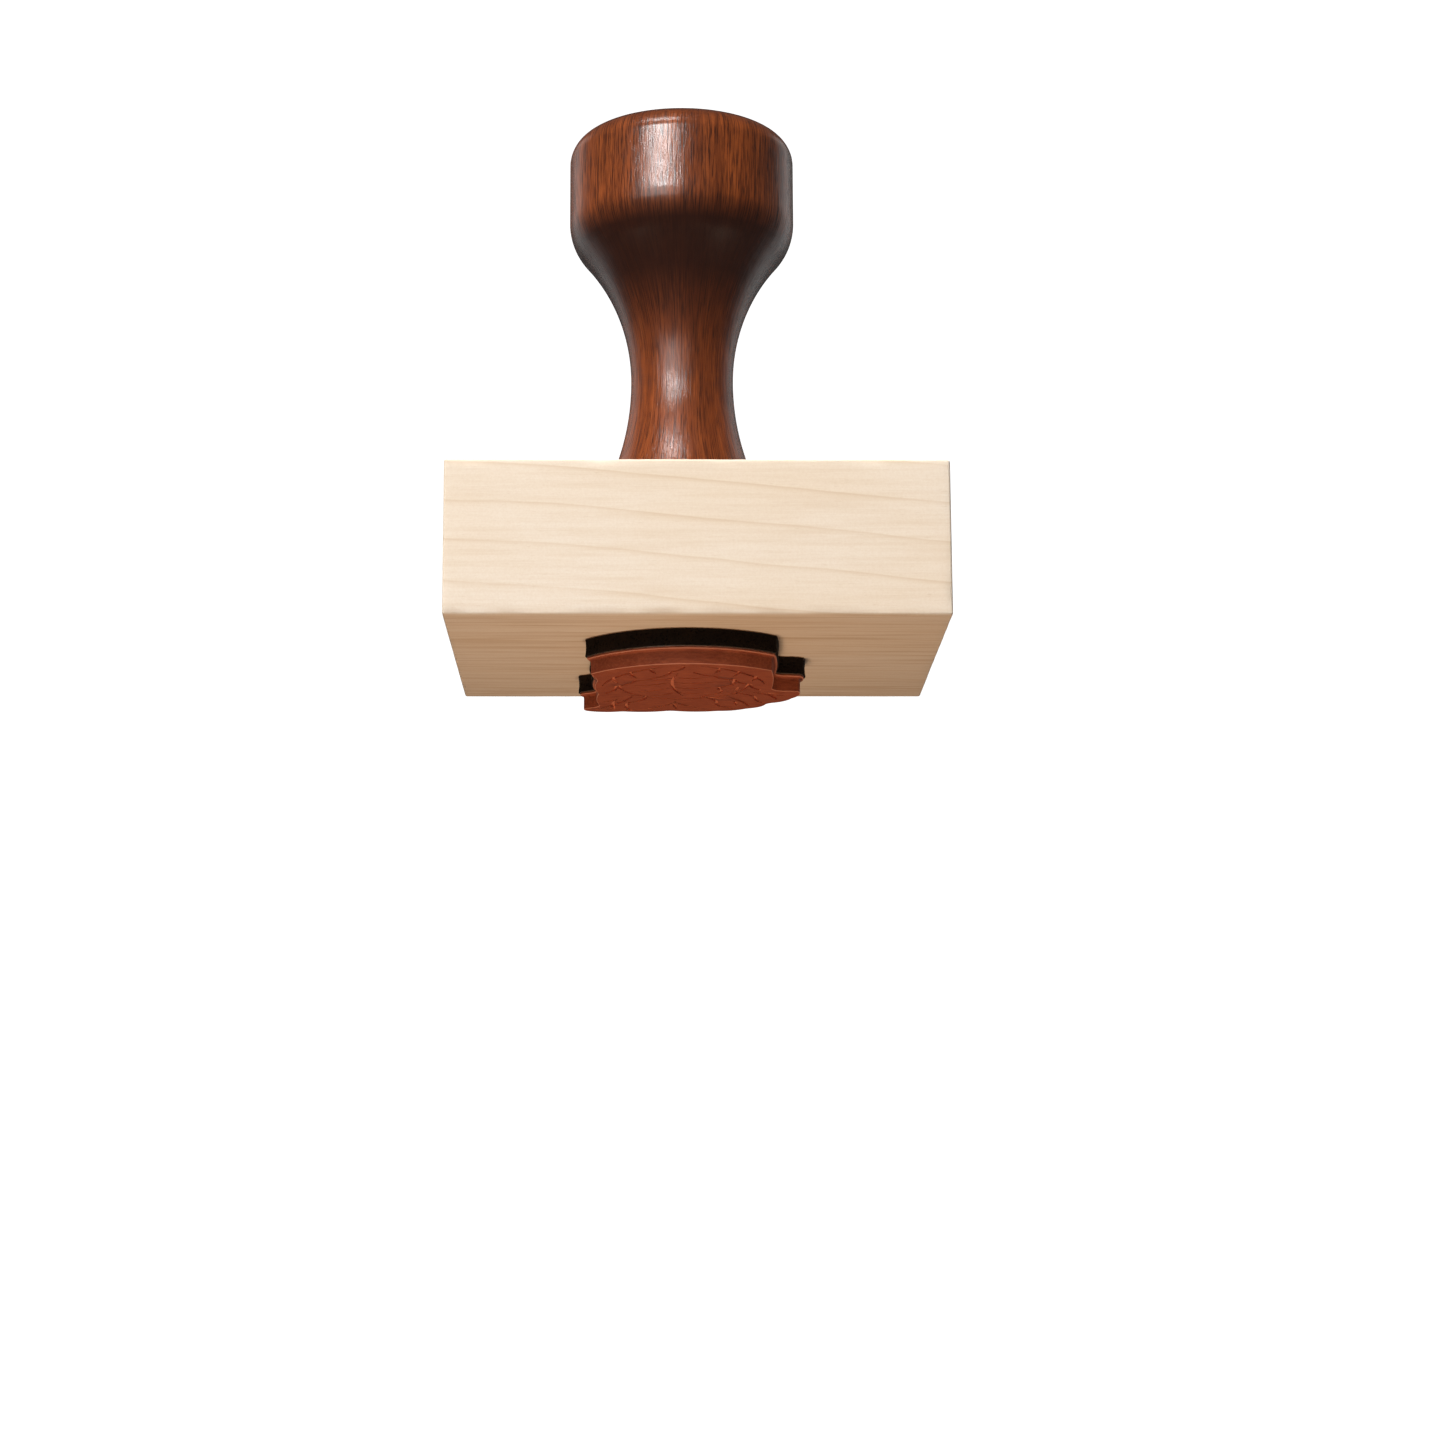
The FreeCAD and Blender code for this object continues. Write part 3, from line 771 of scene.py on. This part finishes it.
def turning_tree(finish):
    """Turns a profile about an upright axis, with the fine rings that the lathe tool leaves."""
    sizes = [
        ("Samples", "Int"), ("Segments", "Int"), ("Axis X", "Float"),
        ("Mark Depth", "Float"), ("Mark Pitch", "Float"), ("Seed", "Float"),
    ]
    tree, inputs = new_tree("turning", sizes)
    columns = maths(tree, "ADD", inputs["Segments"], 1.0)
    grid = add(
        tree, "GeometryNodeMeshGrid",
        inputs={"Size X": 1.0, "Size Y": 1.0,
                "Vertices X": columns, "Vertices Y": inputs["Samples"]},
    )
    place = add(tree, "GeometryNodeInputPosition").outputs[0]
    share = add(tree, "ShaderNodeSeparateXYZ", inputs={0: place}).outputs
    along = maths(tree, "ADD", share["Y"], 0.5)
    turn = maths(tree, "MULTIPLY", share["X"], 2 * math.pi)
    sample = add(
        tree, "GeometryNodeSampleCurve", {"mode": "FACTOR", "use_all_curves": True},
        {"Curves": inputs["Geometry"], "Factor": along},
    ).outputs["Position"]
    spun = add(
        tree, "ShaderNodeVectorRotate", {"rotation_type": "Z_AXIS"},
        {"Vector": sample, "Angle": turn},
    ).outputs[0]
    height = add(tree, "ShaderNodeSeparateXYZ", inputs={0: sample}).outputs["Z"]
    cycles = maths(tree, "DIVIDE", height, inputs["Mark Pitch"])
    ring = maths(tree, "SINE", maths(tree, "MULTIPLY", cycles, 2 * math.pi), 0.0)
    wobble = add(
        tree, "ShaderNodeTexNoise", {"noise_dimensions": "4D"},
        {"Vector": spun, "W": inputs["Seed"], "Scale": 1 / TOOL_WOBBLE, "Detail": 2.0},
    ).outputs["Fac"]
    mark = maths(tree, "MULTIPLY", maths(tree, "MULTIPLY", ring, wobble), inputs["Mark Depth"])
    radial = vectors(tree, "NORMALIZE", vectors(tree, "MULTIPLY", spun, (1, 1, 0)))
    cut = scaled(tree, radial, maths(tree, "SUBTRACT", mark, inputs["Mark Depth"]))
    axis = add(tree, "ShaderNodeCombineXYZ", inputs={"X": inputs["Axis X"]}).outputs[0]
    final = vectors(tree, "ADD", vectors(tree, "ADD", spun, cut), axis)
    placed = {0: grid.outputs[0], "Position": final}
    shaped = add(tree, "GeometryNodeSetPosition", inputs=placed).outputs[0]
    joined = {0: shaped, "Distance": TURNING_MERGE}
    closed = add(tree, "GeometryNodeMergeByDistance", inputs=joined)
    close_tree(tree, closed.outputs[0], finish)
    return tree


def poly_line(name, points):
    """A curve of straight runs through points of (r, z), drawn in the XZ plane."""
    data = bpy.data.curves.new(name, "CURVE")
    data.dimensions = "3D"
    spline = data.splines.new("POLY")
    spline.points.add(len(points) - 1)
    for knot, (r, z) in zip(spline.points, points):
        knot.co = (r, 0, z, 1)
    line = bpy.data.objects.new(name, data)
    bpy.context.scene.collection.objects.link(line)
    return line


handle_bore_top = screw_high.z - handle_low.z
turned_outline = turning_profile()
bore_end = handle_bore_top - bore_radius
turned_outline += [(bore_radius, 0.0), (bore_radius, bore_end), (0.0, handle_bore_top)]
turned_outline = [(r, handle_low.z + z) for r, z in turned_outline]
profile_length = sum(math.dist(p, q) for p, q in zip(turned_outline, turned_outline[1:]))
handle = run_tree(
    poly_line("turned_handle", turned_outline),
    turning_tree(stain_finish()),
    {"Samples": round(profile_length / PROFILE_STEP), "Segments": TURNING_SEGMENTS,
     "Axis X": handle_x, "Mark Depth": TOOL_MARK, "Mark Pitch": TOOL_PITCH, "Seed": TOOL_SEED},
)
shaped = bmesh.new()
shaped.from_mesh(handle.data)
bmesh.ops.recalc_face_normals(shaped, faces=shaped.faces)
shaped.to_mesh(handle.data)
shaped.free()
shade_smooth(handle, WOOD_CRISP_ANGLE)
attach(handle, "mount")
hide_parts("handle")


# ---- Studio -------------------------------------------------------------------------------------
# A pale floor well below the stamp, which is held up to show its underside, and a white surround.
# A main box high at the front left lights it, with a window and two panes that show in the
# varnish, a low warm reflector under the block, two strips behind and two fills at the sides.
FLOOR_BELOW = 0.30
FLOOR_RADIUS = 4.0
FLOOR_PAPER = (0.90, 0.89, 0.87)
FLOOR_GLOW = 0.75
SURROUND_RADIUS = 4.5
SURROUND_GLOW = 1.05
ROOM_COLOUR = (1, 0.97, 0.94, 1)
ROOM_LIGHT = 0.08
AIM = Vector((0, 0, 0.04))
WHITE = (1, 1, 1)
WARM = (1.0, 0.71, 0.49)
# name, azimuth and elevation, distance, width and height, watts, colour, seen in the varnish
SOFT_BOXES = (
    ("main_box", -30, 66, 0.9, 0.40, 0.40, 12.0, WHITE, False),
    ("front_window", -24, 15, 0.9, 0.46, 0.36, 2.1, WHITE, True),
    ("bright_pane", -22, 26, 0.9, 0.22, 0.10, 2.4, WHITE, True),
    ("high_pane", -26, 52, 0.9, 0.11, 0.20, 2.0, WHITE, True),
    ("low_reflector", -16, -77, 0.164, 0.06, 0.04, 0.102, WARM, True),
    ("left_strip", -136, 10, 0.9, 0.30, 0.9, 0.55, WHITE, True),
    ("right_strip", 136, 10, 0.9, 0.30, 0.9, 0.60, WHITE, True),
    ("left_fill", -108, 12, 0.9, 0.50, 0.50, 1.2, WHITE, False),
    ("right_fill", 108, 12, 0.9, 0.50, 0.50, 1.2, WHITE, False),
)
LENS = 77.087
SENSOR = 36.0
EYE = Vector((-5.788, -405.644, -87.209)) * MM
EYE_UP = math.radians(11.618)
EYE_RIGHT = math.radians(1.282)
EYE_ROLL = math.radians(-0.277)

camera_data = bpy.data.cameras.new("camera")
camera_data.lens = LENS
camera_data.sensor_width = SENSOR
camera_data.clip_start = 0.01
camera_data.clip_end = 100
camera = bpy.data.objects.new("camera", camera_data)
bpy.context.scene.collection.objects.link(camera)
ahead = Vector((
    math.sin(EYE_RIGHT) * math.cos(EYE_UP),
    math.cos(EYE_RIGHT) * math.cos(EYE_UP),
    math.sin(EYE_UP),
))
level_right = Vector((math.cos(EYE_RIGHT), -math.sin(EYE_RIGHT), 0))
level_up = level_right.cross(ahead)
right = level_right * math.cos(EYE_ROLL) + level_up * math.sin(EYE_ROLL)
upward = level_up * math.cos(EYE_ROLL) - level_right * math.sin(EYE_ROLL)
turned_to = Matrix((right, upward, -ahead)).transposed().to_4x4()
camera.matrix_world = Matrix.Translation(EYE) @ turned_to
bpy.context.scene.camera = camera


def glowing(name, colour, strength):
    """A plain matt paper that also glows evenly."""
    paper = bpy.data.materials.new(name)
    paper.use_nodes = True
    shader = paper.node_tree.nodes["Principled BSDF"]
    shader.inputs["Base Color"].default_value = (*colour, 1)
    shader.inputs["Roughness"].default_value = 0.9
    shader.inputs["Emission Color"].default_value = (*colour, 1)
    shader.inputs["Emission Strength"].default_value = strength
    return paper


def stage_piece(name, mesh, paper):
    """A piece of the studio that the eye sees, and that neither lights nor shows in the stamp."""
    made = new_piece(name, mesh, paper)
    made.visible_diffuse = False
    made.visible_glossy = False
    made.visible_transmission = False
    made.visible_shadow = False
    return made


floor_mesh = bmesh.new()
bmesh.ops.create_circle(floor_mesh, cap_ends=True, segments=96, radius=FLOOR_RADIUS)
bmesh.ops.translate(floor_mesh, verts=floor_mesh.verts, vec=(0, 0, -FLOOR_BELOW))
stage_piece("floor", floor_mesh, glowing("floor_paper", FLOOR_PAPER, FLOOR_GLOW))
surround_mesh = bmesh.new()
bmesh.ops.create_uvsphere(surround_mesh, u_segments=48, v_segments=24, radius=SURROUND_RADIUS)
bmesh.ops.reverse_faces(surround_mesh, faces=surround_mesh.faces)
stage_piece("surround", surround_mesh, glowing("surround_paper", WHITE, SURROUND_GLOW))

world = bpy.data.worlds.new("room")
bpy.context.scene.world = world
world.use_nodes = True
world.node_tree.nodes["Background"].inputs["Color"].default_value = ROOM_COLOUR
world.node_tree.nodes["Background"].inputs["Strength"].default_value = ROOM_LIGHT


def soft_box(name, azimuth, elevation, distance, width, height, power, colour, mirrored):
    """An area light that faces the stamp; azimuth is from the front, to the right."""
    data = bpy.data.lights.new(name, "AREA")
    data.shape = "RECTANGLE"
    data.size = width
    data.size_y = height
    data.energy = power
    data.color = colour
    light = bpy.data.objects.new(name, data)
    bpy.context.scene.collection.objects.link(light)
    a, e = math.radians(azimuth), math.radians(elevation)
    out = Vector((math.sin(a) * math.cos(e), -math.cos(a) * math.cos(e), math.sin(e)))
    light.location = AIM + out * distance
    light.rotation_mode = "QUATERNION"
    light.rotation_quaternion = (-out).to_track_quat("-Z", "Y")
    light.visible_camera = False
    light.visible_glossy = mirrored


for lamp in SOFT_BOXES:
    soft_box(*lamp)

bpy.context.scene.view_settings.view_transform = "Standard"
